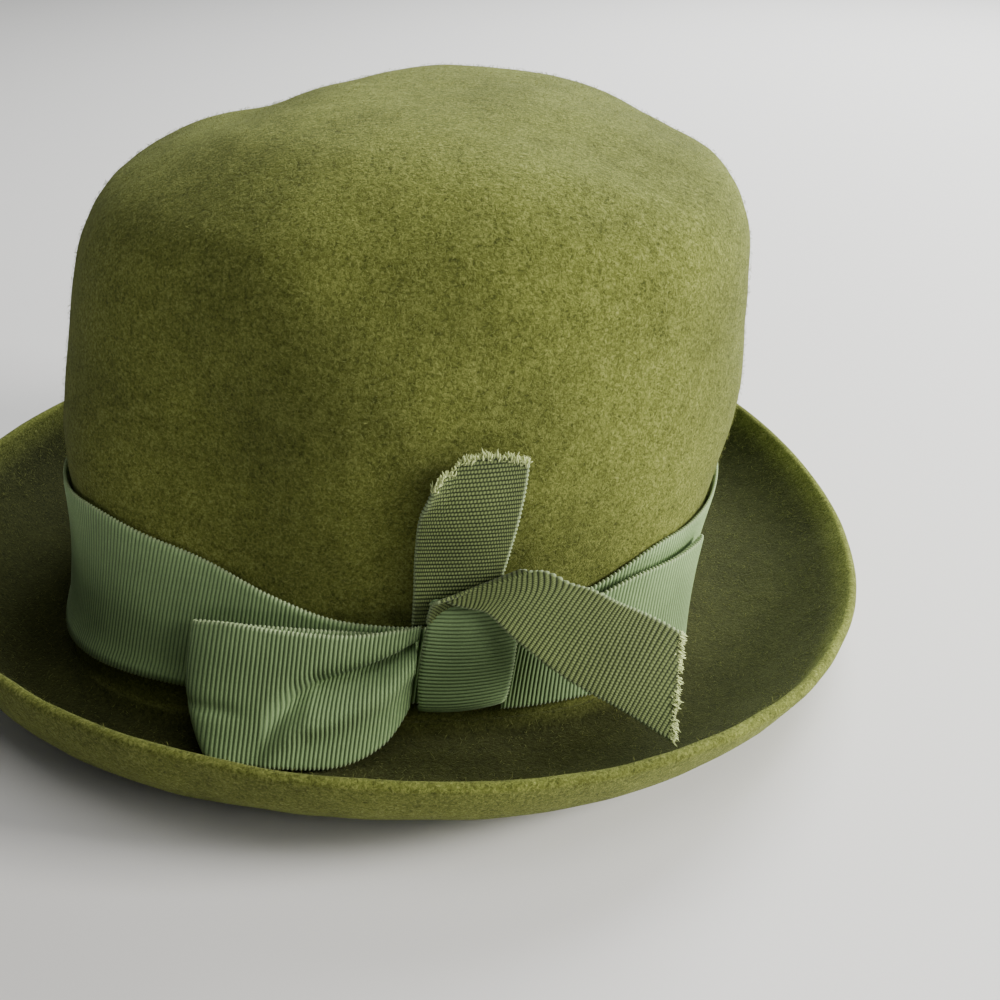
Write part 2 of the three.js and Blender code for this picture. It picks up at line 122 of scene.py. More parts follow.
# Left loop from the knot round its fold and back: along is a share of the loop's length, corner pulls its
# lower part back by such a share, low and high are shares of the band's width, the stands shares of the
# bow's stand
LEFT_LOOP = table("along corner low high low_stand high_stand", (
    (0.00, 0.00, 0.10, 0.62, 0.55, 0.50),
    (0.10, 0.00, -0.05, 0.60, 0.95, 0.54),
    (0.29, 0.00, -0.145, 0.57, 1.16, 0.56),
    (0.58, 0.00, -0.15, 0.58, 1.18, 0.55),
    (0.82, 0.04, -0.13, 0.585, 1.16, 0.52),
    (0.94, 0.09, -0.12, 0.56, 1.10, 0.48),
    (0.98, 0.10, -0.1, 0.54, 0.92, 0.38),
    (0.94, 0.10, -0.135, 0.53, 0.97, 0.28),
    (0.70, 0.02, -0.172, 0.54, 0.99, 0.27),
    (0.45, 0.00, -0.13, 0.54, 0.86, 0.26),
    (0.20, 0.00, 0.00, 0.52, 0.50, 0.25),
    (0.00, 0.00, 0.10, 0.50, 0.24, 0.24),
))

# Right loop, flatter and half behind the falling tail, with the left one's columns but without its corner
RIGHT_LOOP = table("along low high low_stand high_stand", (
    (-0.1, 0.04, 0.50, 0.40, 0.40),
    (0.00, 0.05, 0.60, 0.46, 0.42),
    (0.20, 0.06, 0.66, 0.50, 0.40),
    (0.45, 0.05, 0.73, 0.50, 0.36),
    (0.75, 0.04, 0.72, 0.50, 0.36),
    (0.94, 0.04, 0.70, 0.46, 0.34),
    (1.00, 0.05, 0.69, 0.36, 0.29),
    (0.96, 0.06, 0.68, 0.26, 0.25),
    (0.60, 0.06, 0.66, 0.24, 0.24),
    (0.00, 0.08, 0.52, 0.24, 0.24),
))

# Knot wrap from under the bow, up over its front and in at the top: height is a share of the knot's height
# above its foot, stand a share of the knot's stand, width a share of its width, shift a share of its width
# to the right
KNOT = table("height rise stand width shift", (
    (-0.08, 0.00, 0.14, 0.86, 0.04),
    (0.00, 0.03, 0.66, 0.90, 0.04),
    (0.10, 0.04, 0.98, 0.94, 0.03),
    (0.30, 0.02, 1.04, 1.00, 0.01),
    (0.55, 0.00, 1.06, 1.00, -0.01),
    (0.78, 0.02, 1.03, 0.96, -0.03),
    (0.90, 0.05, 0.93, 0.90, -0.05),
    (0.93, 0.07, 0.78, 0.86, -0.07),
    (0.94, 0.07, 0.62, 0.84, -0.07),
))

# Upright tail: along is a share of its length above its foot, lean and width shares of the tail's width,
# stand a share of the knot's stand
UPRIGHT = table("along lean width left_stand right_stand", (
    (0.00, 0.0, 0.76, 0.56, 0.42),
    (0.25, -0.07, 0.90, 0.54, 0.38),
    (0.50, -0.1, 0.96, 0.54, 0.38),
    (0.75, -0.09, 0.97, 0.58, 0.42),
    (1.00, 0.0, 0.90, 0.62, 0.50),
))

# Falling tail from the knot's top to the brim: right, out and drop are shares of its length from the start
# of its middle line, tilt is how far its upper edge leans back in degrees, width and slant are shares of
# the tail's width
FALLING = table("right out drop tilt width slant", (
    (0.00, 0.00, 0.00, 30, 0.44, -0.83),
    (0.14, 0.03, 0.02, 28, 0.62, -0.61),
    (0.28, 0.07, 0.10, 30, 0.86, -0.39),
    (0.46, 0.13, 0.21, 34, 0.96, -0.22),
    (0.67, 0.19, 0.31, 40, 1.00, 0.05),
    (0.82, 0.25, 0.39, 44, 1.00, 0.50),
))

# The rows over which the knot's ribbon rolls forward into the falling tail: azimuths, and heights and
# distances off the crown in millimetres, at its lower and its upper edge
FALLING_ROLL = table("low_azimuth low low_stand high_azimuth high high_stand", (
    (-82.4, 43.0, 8.2, -72.0, 43.0, 5.6),
    (-82.4, 46.6, 8.4, -71.6, 47.6, 5.2),
    (-82.0, 49.2, 9.0, -71.2, 51.6, 4.9),
    (-81.5, 50.2, 10.0, -70.6, 54.8, 4.9),
))

# The left loop's pleat at shares of the loop's length: its place across the ribbon, and its depth in
# millimetres
PLEAT_LINE = ((0.0, 0.77), (0.14, 0.69), (0.30, 0.62), (0.43, 0.547), (0.51, 0.45), (0.60, 0.30))
PLEAT_DEPTH = ((0.0, 4.2), (0.20, 4.8), (0.40, 4.6), (0.50, 3.4), (0.62, 0.0))

# How far the upright tail's foot is tucked down behind the knot, and by how many millimetres its cut falls
# short at shares of its width
UPRIGHT_TUCK = 4 * MM
UPRIGHT_CUT = (
    (0.0, 6.0), (0.06, 3.6), (0.14, 2.6), (0.19, 3.3),
    (0.24, 0.3), (0.5, -0.9), (0.8, -0.2), (1.0, 1.6),
)

# Where each piece of the bow starts, round the crown
KNOT_AZIMUTH = -75.8
LEFT_AZIMUTH = -83
RIGHT_AZIMUTH = -66
UPRIGHT_AZIMUTH = -84
FALLING_AZIMUTH = -75.4
FALLING_START_STAND = 0.88

# Shares of the crown's height: where its plan reaches the top's shape, and where the top's dents set in
SQUARE_RISE = 0.5
TOP_DENTS_RISE = (0.7, 0.95)

# The felt's surface: rows and columns of places, and its uneven swells
CROWN_ROWS = 84
TURN_ROWS = 8
BRIM_ROWS = 34
LIP_ROWS = 8
FELT_COLUMNS = 300
SWELLS = (
    {"size": 26 * MM, "depth": 0.5 * MM, "seed": 3},
    {"size": 9 * MM, "depth": 0.22 * MM, "seed": 5},
)
# The brim's trough gets painted shade: it comes in over these rows from the crown's last, and goes over
# these before the lip, leaving this share of the felt's colour
TROUGH_IN = (-8, 6)
TROUGH_OUT = (-1, 9)
TROUGH_SHADE = 0.22

# The nap: how many fibres, their range of lengths and radii in millimetres, and near the lip how much
# denser and longer they stand and over how many rows
NAP_COUNT = 30000
NAP_LONG = (0.7, 1.8)
NAP_RADIUS = (0.030, 0.055)
LIP_NAP = 2.2
LIP_NAP_ROWS = 12
LIP_NAP_LONG = 1.35
LIP_NAP_LONG_ROWS = 16

# Ribbons: steps that their tables are worked out at, and columns of places across them
BAND_STEPS = 1441
LOOP_STEPS = 700
KNOT_STEPS = 300
TAIL_STEPS = 300
FALLING_STEPS = 500
FALLING_REFINEMENT = 4
BAND_COLUMNS = 13
LOOP_COLUMNS = 29
KNOT_COLUMNS = 17
TAIL_COLUMNS = 33
# Rows to a rib, how flat-topped a rib is, how thin the selvage, how crowded the columns near it,
# and where it starts from the ribbon's middle
RIB_STEPS = 6
RIB_POWER = 0.45
SELVAGE_THIN = 0.7
CROWDING = 0.12
SELVAGE_FROM = 0.465
# The band's lower edge flares off the felt at its left
FLARE = {"azimuth": -140, "azimuth_span": 18, "depth": 1.4 * MM, "share_span": 0.05}
# How much of a loop's stand off the crown is taken back along it, so that its ribs stay upright
OUTER_LEAN = 0.5
# Rows of a loop's table that lie in front
FRONT_ROWS = 6
KNOT_ROUNDING = 1.1 * MM
UPRIGHT_CURL = 1.3 * MM

# Cut ends: threads at each, their length and range of radii in millimetres, and how far inside the cut they
# start
FRAY_COUNT = 460
FRAY_LONG = 2.1
FRAY_RADIUS = (0.12, 0.22)
FRAY_START = 1.1
FRAY_ROWS = 14

# Places of a skin and of a thread that lie closer together than this are one
MEETING = 0.002 * MM
THREAD_MEETING = 0.0005 * MM

# How many warp threads lie across a ribbon, and how strongly the ribs' painted light and shade and the warp
# dashes show, by kind of ribbon
WEAVES = {
    "band": {"warps": 60, "ribs": 0.85, "dashes": 0.0},
    "falling": {"warps": 34, "ribs": 0.45, "dashes": 0.55},
    "upright": {"warps": 34, "ribs": 0.25, "dashes": 0.75},
}

# Square soft lights, in metres and watts, all turned to one place in the hat
LIGHTS = table("name place size power tint", (
    ("window_light", (1.05, -0.22, 0.50), 0.30, 23, (1.0, 0.98, 0.94)),
    ("side_light", (0.85, -0.65, 0.60), 0.4, 3, (1.0, 0.98, 0.95)),
    ("ceiling_light", (0.35, -0.30, 1.25), 0.7, 6, (1.0, 1.0, 0.98)),
    ("back_light", (0.60, 0.90, 0.80), 0.8, 30, (0.97, 0.99, 1.0)),
))
LIT_PLACE = (0, 0, 0.05)
ROOM_LIGHT = 0.11

# The camera: millimetres in the rim's own frame, degrees below level, and a focal length in the photo's
# pixels
CAMERA_PITCH = 31.2
CAMERA_X = 16.0
CAMERA_TARGET_Z = 24.7
CAMERA_DISTANCE = 367.1
CAMERA_FOCUS = 1211.5
PHOTO_SIDE = 1000
SENSOR = 36


def length(label, text, millimetres):
    return FloatProperty(name=label, description=text, default=millimetres * MM, unit="LENGTH", precision=4)


def colour(label, text, value):
    return FloatVectorProperty(
        name=label, description=text, default=value, size=3, min=0, max=1, subtype="COLOR")


class FeltSizes(bpy.types.PropertyGroup):
    """Sizes of the blocked felt"""
    wall: length("Felt", "Thickness of the felt", 3)
    crown_length: length("Crown length", "Outside length of the crown at its fullest", 183)
    crown_width: length("Crown width", "Outside width of the crown at its fullest", 163)
    crown_height: length("Crown height", "Top of the crown above the table", 146)
    foot_exponent: FloatProperty(name="Foot exponent", description="2 is an oval crown foot", default=3.2)
    top_exponent: FloatProperty(name="Top exponent", description="2 is an oval crown top", default=2.33)
    crown_base_x: length("Crown place", "Middle of the crown's foot from the rim's own origin", -20.7)
    crown_lean: length("Crown lean", "How far the crown's top lies to the right of its foot", 17.5)
    turn_radius: length("Turn", "Radius where the crown turns into the brim", 4)
    ring_width: length("Rest ring", "Flat ring under the brim's foot", 7)
    rim_centre_x: length("Rim centre", "Middle of the rim along the hat", 6)
    reach_right: length("Reach right", "Lip from the rim's centre, right", 112)
    reach_left: length("Reach left", "Lip from the rim's centre, left", 154)
    reach_front: length("Reach front", "Lip from the rim's centre, bow side", 124)
    reach_back: length("Reach back", "Lip from the rim's centre, back", 125)
    lip_right: length("Lip right", "Height of the lip, right", 17)
    lip_left: length("Lip left", "Height of the lip, left", 28)
    lip_front: length("Lip front", "Height of the lip, bow side", 29)
    lip_back: length("Lip back", "Height of the lip, back", 29)
    curl: FloatProperty(name="Curl", description="Angle the brim rolls up to, in degrees", default=80)
    curl_right: FloatProperty(name="Curl right", description="The same on the right", default=58)
    wall_dent: length("Wall dents", "Depth that the wall's dents take shares of", 5)
    top_dent: length("Top dents", "Depth that the top's dents take shares of", 8)


class RibbonSizes(bpy.types.PropertyGroup):
    """Sizes of the grosgrain ribbons"""
    wall: length("Ribbon", "Thickness of the ribbon between its ribs", 0.55)
    rib_pitch: length("Rib pitch", "From one rib to the next", 1.08)
    rib_height: length("Rib height", "How far a rib stands above the grooves", 0.22)
    scallop: length("Scallop", "How far the selvage bulges at each rib", 0.5)
    band_width: length("Band width", "Cut width of the band's ribbon", 46)
    band_foot: length("Band foot", "Height of the band's lower edge", 12)
    band_gap: length("Band gap", "From the felt to the band's middle", 1.2)
    bow_stand: length("Bow stand", "How far the bow's fullest fold stands off the crown", 13)
    left_loop: length("Left loop", "From the knot to the left loop's fold", 55)
    right_loop: length("Right loop", "From the knot to the right loop's fold", 50)
    knot_width: length("Knot width", "Width of the knot's wrap", 20)
    knot_height: length("Knot height", "From the knot's foot to its top", 35)
    knot_foot: length("Knot foot", "Height of the knot's foot", 14)
    knot_stand: length("Knot stand", "How far the knot stands off the crown", 9)
    tail_width: length("Tail width", "Cut width of the tails' ribbon", 22)
    upright_length: length("Upright tail", "Length of the upright tail", 42)
    upright_foot: length("Upright foot", "Height of the upright tail's foot", 43.6)
    falling_length: length("Falling tail", "Length that the falling tail's steps take shares of", 54)
    falling_top: length("Falling top", "Height of the falling tail's start", 53)


class HatColours(bpy.types.PropertyGroup):
    """Dyes of the felt and the ribbons, with the ribbons' painted light on their ribs and painted shade in
    their grooves
    """
    felt_dark: colour("Felt dark", "Olive in the felt's hollows", (0.047, 0.056, 0.010))
    felt_mid: colour("Felt", "Olive of the felt", (0.119, 0.137, 0.026))
    felt_light: colour("Felt light", "Brushed tips of the nap", (0.228, 0.251, 0.068))
    # The ribbons' dyes, painted darker between the ribs as painted shade and lighter on the ribs as painted
    # light
    band_groove_shade: colour("Ribbon groove", "Sage green between the ribs", (0.085, 0.138, 0.060))
    band_rib_lit: colour("Ribbon rib", "Sage green on the ribs", (0.325, 0.480, 0.200))
    tail_groove_shade: colour("Tail groove", "Dark green between the tails' ribs", (0.010, 0.017, 0.004))
    tail_rib_lit: colour("Tail rib", "Olive green on the tails' ribs", (0.215, 0.275, 0.090))
    selvage: colour("Selvage", "Pale beads along the ribbons' edges", (0.30, 0.38, 0.19))
    fray: colour("Fray", "Pale threads at the cut ends", (0.50, 0.57, 0.25))
    nap: colour("Nap", "Loose wool standing on the felt", (0.20, 0.22, 0.06))


def smoothstep(value, low, high):
    share = np.clip((value - low) / (high - low), 0, 1)
    return share * share * (3 - 2 * share)


def bump(distance, span):
    return np.exp(-0.5 * (distance / span) ** 2)


def column(table, name):
    return np.array([row[name] for row in table], float)


def spline(values, places):
    """Smooth values at places along a list, counted in its entries."""
    places = np.clip(np.asarray(places, float), 0, len(values) - 1)
    at = np.minimum(places.astype(int), len(values) - 2)
    share = places - at
    p0, p1 = values[np.maximum(at - 1, 0)], values[at]
    p2, p3 = values[at + 1], values[np.minimum(at + 2, len(values) - 1)]
    return 0.5 * (2 * p1 + (p2 - p0) * share + (2 * p0 - 5 * p1 + 4 * p2 - p3) * share ** 2
                  + (3 * p1 - p0 - 3 * p2 + p3) * share ** 3)


def looked_up(table, key, places, name):
    """Smooth values of one column of a table at places along another."""
    keys = column(table, key)
    steps = np.interp(places, keys, np.arange(len(keys)))
    return spline(column(table, name), steps)


def row_values(table, count):
    """Steps along the rows of a table, and smooth values of all its columns at them."""
    steps = np.linspace(0, len(table) - 1, count)[:, None]
    return steps, {name: spline(column(table, name), steps) for name in table[0]}


def turn_between(start, end):
    return (end - start + 180) % 360 - 180


def plan_fullness(turn, height):
    """How far the crown's plan stands outside a plain oval at angles and shares of the crown's height."""
    felt = bpy.context.scene.felt_sizes
    risen = np.minimum(1, height / SQUARE_RISE)
    power = felt.foot_exponent + (felt.top_exponent - felt.foot_exponent) * risen
    return (np.abs(np.cos(turn)) ** power + np.abs(np.sin(turn)) ** power) ** (-1 / power)


def wall_dent_at(azimuth, height):
    depth = np.zeros(np.broadcast(azimuth, height).shape)
    for dent in WALL_DENTS:
        aside = bump(turn_between(dent["azimuth"], azimuth), dent["azimuth_span"])
        depth = depth + dent["depth"] * aside * bump(height - dent["height"], dent["height_span"] / 2)
    return depth * bpy.context.scene.felt_sizes.wall_dent


def top_dent_at(along, across):
    depth = 0.0
    for dent in TOP_DENTS:
        lengthways = bump(along - dent["along"], dent["along_span"])
        depth = depth + dent["depth"] * lengthways * bump(across - dent["across"], dent["across_span"])
    return depth * bpy.context.scene.felt_sizes.top_dent


def hat_shift():
    """From the rim's own origin to the middle of the hat's outline."""
    felt = bpy.context.scene.felt_sizes
    return np.array([
        -felt.rim_centre_x - (felt.reach_right - felt.reach_left) / 2,
        -(felt.reach_back - felt.reach_front) / 2, 0.0])


def crown_point(azimuth, height, reach, lean, out=0.0):
    """Places on the crown's outside at azimuths and sections."""
    felt = bpy.context.scene.felt_sizes
    turn = np.radians(azimuth)
    fullness = plan_fullness(turn, height)
    along = reach * fullness * np.cos(turn)
    across = reach * fullness * np.sin(turn)
    inward = wall_dent_at(azimuth, height) * np.minimum(1, reach) - out
    down = top_dent_at(along, across) * smoothstep(height, *TOP_DENTS_RISE)
    return np.stack([
        felt.crown_base_x + felt.crown_lean * lean + along * felt.crown_length / 2 - inward * np.cos(turn),
        across * felt.crown_width / 2 - inward * np.sin(turn),
        height * felt.crown_height - down + 0 * turn], -1)


def beside_crown(azimuth, height, out):
    """Places beside the crown's wall at azimuths, heights and distances off the felt."""
    felt = bpy.context.scene.felt_sizes
    share = np.maximum(0, height / felt.crown_height)
    reach = looked_up(CROWN_SECTIONS, "height", share, "reach")
    lean = looked_up(CROWN_SECTIONS, "height", share, "lean")
    place = crown_point(azimuth, share, reach, lean, out)
    place[..., 2] = height
    return place


def walked_azimuth(azimuth, distance):
    """The azimuth after a walk round the crown's foot."""
    felt = bpy.context.scene.felt_sizes
    turn = math.radians(azimuth)
    stride = math.hypot(felt.crown_length / 2 * math.sin(turn), felt.crown_width / 2 * math.cos(turn))
    return azimuth + np.degrees(distance / stride)


def lip_point(azimuth):
    felt = bpy.context.scene.felt_sizes
    turn = np.radians(azimuth)
    right, left = np.maximum(0, np.cos(turn)), np.maximum(0, -np.cos(turn))
    back, front = np.maximum(0, np.sin(turn)), np.maximum(0, -np.sin(turn))
    return np.stack([
        felt.rim_centre_x + felt.reach_right * right - felt.reach_left * left,
        felt.reach_back * back - felt.reach_front * front,
        felt.lip_right * right ** 2 + felt.lip_left * left ** 2
        + felt.lip_back * back ** 2 + felt.lip_front * front ** 2], -1)


def felt_rows(azimuths):
    """The felt's upper skin, a row of places for each step from the crown's top to the lip."""
    felt = bpy.context.scene.felt_sizes
    turn = np.radians(azimuths)
    outward = np.stack([np.cos(turn), np.sin(turn), 0 * turn], -1)
    turn_top = felt.wall + felt.turn_radius
    rows = []
    last = len(CROWN_SECTIONS) - 1
    first = np.interp(turn_top / felt.crown_height, column(CROWN_SECTIONS, "height"), np.arange(last + 1))
    for place in np.linspace(last, first, CROWN_ROWS):
        height, reach, lean = (float(spline(column(CROWN_SECTIONS, name), place))
                               for name in ("height", "reach", "lean"))
        rows.append(crown_point(azimuths, height, max(0.0, reach), lean))
    foot = rows[-1]
    for angle in np.linspace(0, math.pi / 2, TURN_ROWS + 1)[1:]:
        row = foot + outward * felt.turn_radius * (1 - math.cos(angle))
        row[:, 2] = turn_top - felt.turn_radius * math.sin(angle)
        rows.append(row)
    edge = rows[-1] + outward * felt.ring_width
    rows += [rows[-1] * 0.5 + edge * 0.5, edge]
    lip = lip_point(azimuths)
    right = np.maximum(0, np.cos(turn)) ** 2
    curl = np.radians(felt.curl * (1 - right) + felt.curl_right * right)[:, None]
    for step in range(1, BRIM_ROWS + 1):
        angle = curl * step / BRIM_ROWS
        row = edge + (lip - edge) * np.sin(angle) / np.sin(curl)
        row[:, 2:] = felt.wall + (lip[:, 2:] - felt.wall) * (1 - np.cos(angle)) / (1 - np.cos(curl))
        rows.append(row)
    return np.array(rows)


def grid_normals(places, closed):
    """Normals of a grid of places, whose columns close on themselves if asked."""
    along = np.gradient(places, axis=0)
    if closed:
        across = np.roll(places, -1, 1) - np.roll(places, 1, 1)
    else:
        across = np.gradient(places, axis=1)
    normals = np.cross(across, along)
    return normals / np.maximum(np.linalg.norm(normals, axis=-1, keepdims=True), 1e-12)


def flat_grid(name, columns, rows):
    """A grid primitive of so many faces, ready to be bent."""
    bpy.ops.object.select_all(action="DESELECT")
    bpy.ops.mesh.primitive_grid_add(x_subdivisions=columns, y_subdivisions=rows, size=1)
    piece = bpy.context.object
    piece.name = name
    piece.data.name = name
    return piece


def closed_up(piece, places, meeting):
    """Bends a grid to places, joins those that meet and turns the faces outwards."""
    piece.data.vertices.foreach_set("co", places.reshape(-1).astype(np.float32))
    piece.data.update()
    bpy.ops.object.mode_set(mode="EDIT")
    bpy.ops.mesh.select_all(action="SELECT")
    bpy.ops.mesh.remove_doubles(threshold=meeting)
    bpy.ops.mesh.normals_make_consistent(inside=False)
    bpy.ops.object.mode_set(mode="OBJECT")
    bpy.ops.object.shade_smooth()
    return piece


def bent_grid(name, places, uv):
    """A grid with a vertex for each place, bent to those places and closed where they meet."""
    piece = flat_grid(name, places.shape[1] - 1, places.shape[0] - 1)
    at = np.empty(len(piece.data.loops), int)
    piece.data.loops.foreach_get("vertex_index", at)
    piece.data.uv_layers[0].data.foreach_set("uv", uv.reshape(-1, 2)[at].reshape(-1).astype(np.float32))
    return closed_up(piece, places, MEETING)


def finished(piece, node, skin):
    """Puts a piece in its node's place on the hat."""
    piece.data.materials.clear()
    piece.data.materials.append(skin)
    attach(piece, "root")
    if node:
        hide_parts(node)
    piece.select_set(False)
    return piece


def lumps(places, size, depth, seed):
    """Soft uneven swells over a surface."""
    offset = Vector((seed, seed * 2.3, seed * 0.7))
    flat = places.reshape(-1, 3)
    swell = [noise.noise(Vector(place) / size + offset) for place in flat]
    return depth * np.array(swell).reshape(places.shape[:-1] + (1,))


def upper_skin(azimuths):
    """The felt's upper skin with its uneven swells, and the skin's normals."""
    upper = felt_rows(azimuths)
    normals = grid_normals(upper, True)
    normals *= np.sign((normals[-BRIM_ROWS - 2, :, 2:]).mean())
    ring = slice(CROWN_ROWS + TURN_ROWS - 1, CROWN_ROWS + TURN_ROWS + 2)
    normals[ring] = (0, 0, 1)
    normals[0] = (0, 0, 1)
    swells = sum(lumps(upper, **swell) for swell in SWELLS)
    return upper + normals * swells, normals


class HATMAKER_OT_felt(bpy.types.Operator):
    """Block the crown and the brim from one felt"""
    bl_idname = "hatmaker.felt"
    bl_label = "Block Felt"

    def execute(self, context):
        felt = context.scene.felt_sizes
        azimuths = np.linspace(0, 360, FELT_COLUMNS, endpoint=False)
        upper, normals = upper_skin(azimuths)
        under = upper - normals * felt.wall
        lip_out = upper[-1] - upper[-2]
        lip_out /= np.linalg.norm(lip_out, axis=-1, keepdims=True)
        middle = (upper[-1] + under[-1]) / 2
        lip = [middle + felt.wall / 2 * (normals[-1] * math.cos(angle) + lip_out * math.sin(angle))
               for angle in np.linspace(0, math.pi, LIP_ROWS + 2)[1:-1]]
        shell = np.concatenate([upper, np.array(lip), under[::-1]])
        shell[..., 2] = np.maximum(shell[..., 2], 0)
        shell = np.concatenate([shell, shell[:, :1]], 1) + hat_shift()
        step = np.arange(len(shell))
        # Painted shade: the felt's own map carries how far the brim's trough is darkened
        painted_shade = smoothstep(step - CROWN_ROWS, *TROUGH_IN) * smoothstep(len(upper) - step, *TROUGH_OUT)
        painted_shade = np.broadcast_to(painted_shade[:, None], shell.shape[:2])
        piece = bent_grid("felt_hat", shell, np.stack([painted_shade, painted_shade], -1))
        finished(piece, "felt_body", felt_skin(context))
        return {"FINISHED"}


class HATMAKER_OT_nap(bpy.types.Operator):
    """Raise the felt's nap"""
    bl_idname = "hatmaker.nap"
    bl_label = "Raise Nap"

    def execute(self, context):
        rng = np.random.default_rng(11)
        azimuths = np.linspace(0, 360, FELT_COLUMNS, endpoint=False)
        upper, normals = upper_skin(azimuths)
        upper = np.concatenate([upper, upper[:, :1]], 1)
        normals = np.concatenate([normals, normals[:, :1]], 1)
        down, aside = np.diff(upper, axis=0)[:, :-1], np.diff(upper, axis=1)[:-1]
        area = np.linalg.norm(np.cross(down, aside), axis=-1)
        area[-LIP_NAP_ROWS:] *= LIP_NAP
        rows, columns = np.unravel_index(
            rng.choice(area.size, NAP_COUNT, p=(area / area.sum()).reshape(-1)), area.shape)
        way = rng.uniform(0, 1, (NAP_COUNT, 2))
        root = upper[rows, columns] + down[rows, columns] * way[:, :1] + aside[rows, columns] * way[:, 1:]
        normal = normals[rows, columns]
        lean = rng.normal(0, 1, (NAP_COUNT, 3))
        lean -= normal * (lean * normal).sum(-1, keepdims=True)
        lean /= np.linalg.norm(lean, axis=-1, keepdims=True)
        longer = np.where(rows > len(area) - LIP_NAP_LONG_ROWS, LIP_NAP_LONG, 1)[:, None]
        long = rng.uniform(*NAP_LONG, (NAP_COUNT, 1)) * MM * longer
        middle = root + (normal * 0.30 + lean * 0.45) * long
        tip = root + (normal * rng.uniform(0.12, 0.7, (NAP_COUNT, 1)) + lean * 0.9) * long
        paths = np.stack([root - normal * 0.1 * MM, middle, tip], 1)
        radii = np.array([0, 1, 0]) * rng.uniform(*NAP_RADIUS, (NAP_COUNT, 1)) * MM
        piece = threads("felt_nap", paths, radii)
        finished(piece, None, plain_skin("nap_wool", context.scene.hat_colours.nap))
        return {"FINISHED"}


def evened(places, spacing):
    """Rows of places, with any further values beside them, resampled evenly along the ribbon's middle."""
    middle = places[..., :3].mean(axis=1)
    steps = np.concatenate([[0], np.cumsum(np.linalg.norm(np.diff(middle, axis=0), axis=1))])
    count = max(4, int(round(steps[-1] / spacing)))
    wanted = np.linspace(0, steps[-1], count + 1)
    flat = places.reshape(len(places), -1)
    out = np.stack([np.interp(wanted, steps, flat[:, at]) for at in range(flat.shape[1])], -1)
    return out.reshape(count + 1, *places.shape[1:]), wanted



def woven_ribbon(name, places, closed=False, skew=None):
    """A ribbon with ribs across it and beaded selvages, on a surface of places: rows run along it, and skew
    is how far along the ribbon each place lies from its row's middle."""
    ribbon = bpy.context.scene.ribbon_sizes
    if skew is None:
        skew = np.zeros(places.shape[:2])
    placed, along = evened(np.concatenate([places, skew[..., None]], -1), ribbon.rib_pitch / RIB_STEPS)
    places, woven = placed[..., :3], along[:, None] + placed[..., 3]
    if closed:
        woven *= round(along[-1] / ribbon.rib_pitch) * ribbon.rib_pitch / along[-1]
        around = np.concatenate([places[:-1], places[:-1], places[:-1]])
        normals = grid_normals(around, False)[len(places) - 1:2 * len(places) - 1]
    else:
        normals = grid_normals(places, False)
    rib = (0.5 + 0.5 * np.cos(2 * math.pi * woven / ribbon.rib_pitch)) ** RIB_POWER
    across = places[:, -1] - places[:, 0]
    across /= np.linalg.norm(across, axis=-1, keepdims=True)
    places[:, -1] += across * ribbon.scallop * rib[:, -1:]
    places[:, 0] -= across * ribbon.scallop * rib[:, :1]
    if not closed:
        rib[0] = rib[-1] = 0
    thick = (ribbon.wall / 2 + ribbon.rib_height * rib)[..., None]
    thick[:, [0, -1]] *= SELVAGE_THIN
    if not closed:
        thick[[0, -1]] = 0
    shares = np.linspace(0, 1, places.shape[1])
    skin = np.concatenate([places + normals * thick, (places - normals * thick)[:, ::-1]], 1)
    skin = np.concatenate([skin, skin[:, :1]], 1)
    across_share = np.concatenate([shares, shares[::-1], shares[:1]])
    if closed:
        skin[-1] = skin[0]
    woven = np.concatenate([woven, woven[:, ::-1], woven[:, :1]], 1)
    uv = np.stack(np.broadcast_arrays(woven / ribbon.rib_pitch, across_share[None]), -1)
    return bent_grid(name, skin + hat_shift(), uv), along[-1]


def threads(name, paths, radii, sides=3):
    """Thin closed threads: one small grid repeated, bent round each path and pinched at both ends."""
    count, rows = paths.shape[:2]
    piece = flat_grid(name, sides, rows - 1)
    repeat = piece.modifiers.new("repeat", "ARRAY")
    repeat.count = count
    repeat.use_relative_offset = False
    bpy.ops.object.modifier_apply(modifier="repeat")
    forward = np.gradient(paths, axis=1)
    forward /= np.linalg.norm(forward, axis=-1, keepdims=True)
    aside = np.cross(forward, (0.31, 0.52, 0.80))
    aside /= np.linalg.norm(aside, axis=-1, keepdims=True)
    above = np.cross(forward, aside)
    angle = np.linspace(0, 2 * math.pi, sides + 1)[:, None]
    ring = aside[:, :, None] * np.cos(angle) + above[:, :, None] * np.sin(angle)
    places = paths[:, :, None] + radii[:, :, None, None] * ring + hat_shift()
    return closed_up(piece, places, THREAD_MEETING)


def across_shares(count):
    """Shares across a ribbon, closer together at its selvages."""
    first = CROWDING * math.pi
    return 0.5 - 0.5 * np.cos(np.linspace(first, math.pi - first, count)) / math.cos(first)


class HATMAKER_OT_band(bpy.types.Operator):
    """Wrap the wide grosgrain band round the crown's foot"""
    bl_idname = "hatmaker.band"
    bl_label = "Wrap Band"

    def execute(self, context):
        ribbon = context.scene.ribbon_sizes
        azimuths = np.linspace(-180, 180, BAND_STEPS)[:, None]
        share = across_shares(BAND_COLUMNS)[None]
        low = ribbon.band_foot + ribbon.band_width * looked_up(BAND_EDGES, "azimuth", azimuths, "low")
        high = ribbon.band_foot + ribbon.band_width * looked_up(BAND_EDGES, "azimuth", azimuths, "high")
        height = low + (high - low) * share
        left = bump(turn_between(FLARE["azimuth"], azimuths), FLARE["azimuth_span"])
        out = ribbon.band_gap + FLARE["depth"] * left * bump(share, FLARE["share_span"])
        places = beside_crown(azimuths + 0 * share, height, out + 0 * height)
        piece, long = woven_ribbon("band_ribbon", places, closed=True)
        finished(piece, "hat_band", ribbon_skin(context, "band"))
        return {"FINISHED"}


